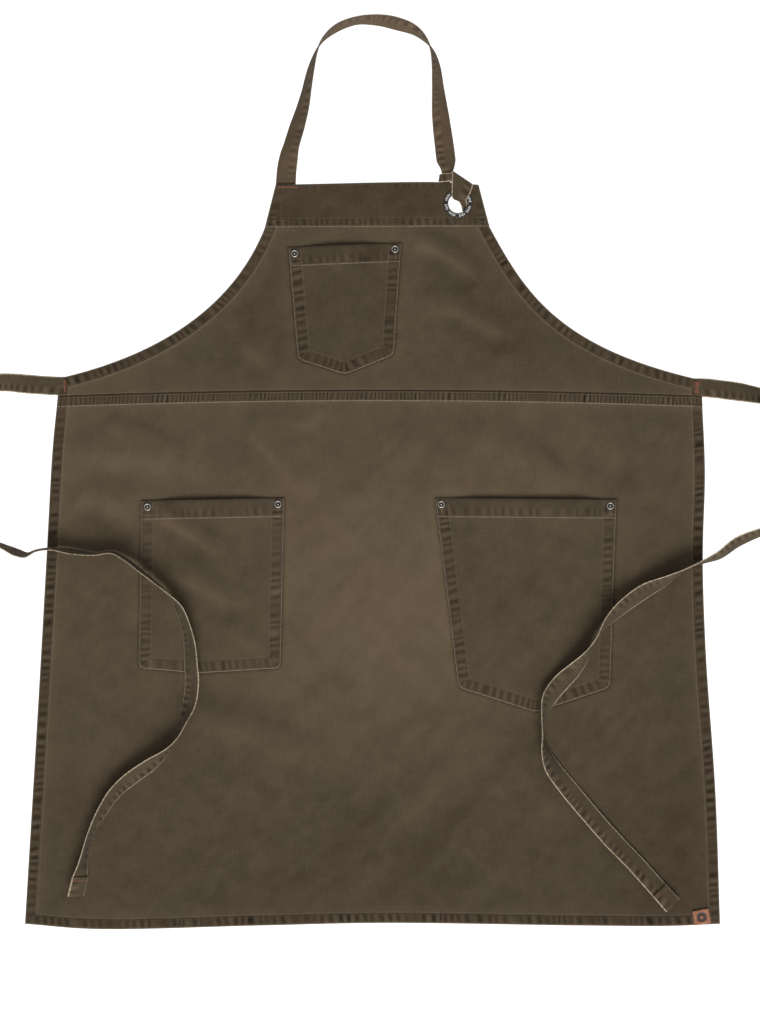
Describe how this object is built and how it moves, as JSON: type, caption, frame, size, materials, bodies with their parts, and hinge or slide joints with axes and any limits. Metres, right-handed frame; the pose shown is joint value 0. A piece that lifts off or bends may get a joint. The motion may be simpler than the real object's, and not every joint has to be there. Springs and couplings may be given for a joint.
{
  "type": "bib apron",
  "caption": "Canvas bib apron laid flat, with a neck strap knotted through an eyelet, side waist ties and riveted patch pockets.",
  "frame": {"origin": "bottom centre of the box around the apron's body, without the straps, where its back rests on a surface", "axes": "+Z out of the front of the cloth, +Y from the hem towards the neck, +X towards the wearer's left"},
  "size_m": [1.0386, 1.0478, 0.0313],
  "materials": {
    "canvas": "washed heavy cotton canvas, plain weave, olive brown, paler where worn",
    "band_canvas": "the same canvas, darker where it is doubled and stitched",
    "strap_canvas": "flat woven and folded cotton tape, stitched along one edge",
    "thread": "rust coloured heavy sewing thread",
    "rivet_metal": "worn nickel plate",
    "eyelet_metal": "dark gunmetal plate with worn raised marks",
    "leather": "copper tan leather with a dark debossed mark"
  },
  "bodies": {
    "apron": {"skirt_panel": "canvas", "bib_panel": "canvas", "bib_top_band": "band_canvas", "chest_pocket": "canvas", "hip_pocket_right": "canvas", "hip_pocket_left": "canvas", "chest_pocket_rivet_a_cap": "rivet_metal", "chest_pocket_rivet_a_back": "rivet_metal", "chest_pocket_rivet_b_cap": "rivet_metal", "chest_pocket_rivet_b_back": "rivet_metal", "hip_pocket_right_rivet_a_cap": "rivet_metal", "hip_pocket_right_rivet_a_back": "rivet_metal", "hip_pocket_right_rivet_b_cap": "rivet_metal", "hip_pocket_right_rivet_b_back": "rivet_metal", "hip_pocket_left_rivet_a_cap": "rivet_metal", "hip_pocket_left_rivet_a_back": "rivet_metal", "hip_pocket_left_rivet_b_cap": "rivet_metal", "hip_pocket_left_rivet_b_back": "rivet_metal", "eyelet_face": "eyelet_metal", "eyelet_washer": "eyelet_metal", "leather_label": "leather", "neck_strap_sewn_end": "strap_canvas", "neck_strap_knot": "strap_canvas", "neck_strap_tail": "strap_canvas", "waist_tie_right_sewn_end": "strap_canvas", "waist_tie_left_sewn_end": "strap_canvas", "bartack_tie_right": "thread", "bartack_tie_left": "thread", "bartack_neck_strap": "thread"},
    "neck_loop": {"neck_strap_loop": "strap_canvas"},
    "tie_right": {"waist_tie_right": "strap_canvas", "waist_tie_right_folded_end": "strap_canvas"},
    "tie_left": {"waist_tie_left": "strap_canvas", "waist_tie_left_folded_end": "strap_canvas"}
  },
  "joints": [
    {"name": "neck_loop_swing", "type": "hinge", "parent": "apron", "child": "neck_loop", "pos_m": [-0.0065, 0.4435, 0.011], "axis": [1, 0, 0], "range_deg": [0, 150]},
    {"name": "tie_right_swing", "type": "hinge", "parent": "apron", "child": "tie_right", "pos_m": [-0.364, 0.2085, 0.0011], "axis": [-1, 0, 0], "range_deg": [0, 170]},
    {"name": "tie_left_swing", "type": "hinge", "parent": "apron", "child": "tie_left", "pos_m": [0.381, 0.2065, 0.0011], "axis": [-1, 0, 0], "range_deg": [0, 170]}
  ]
}
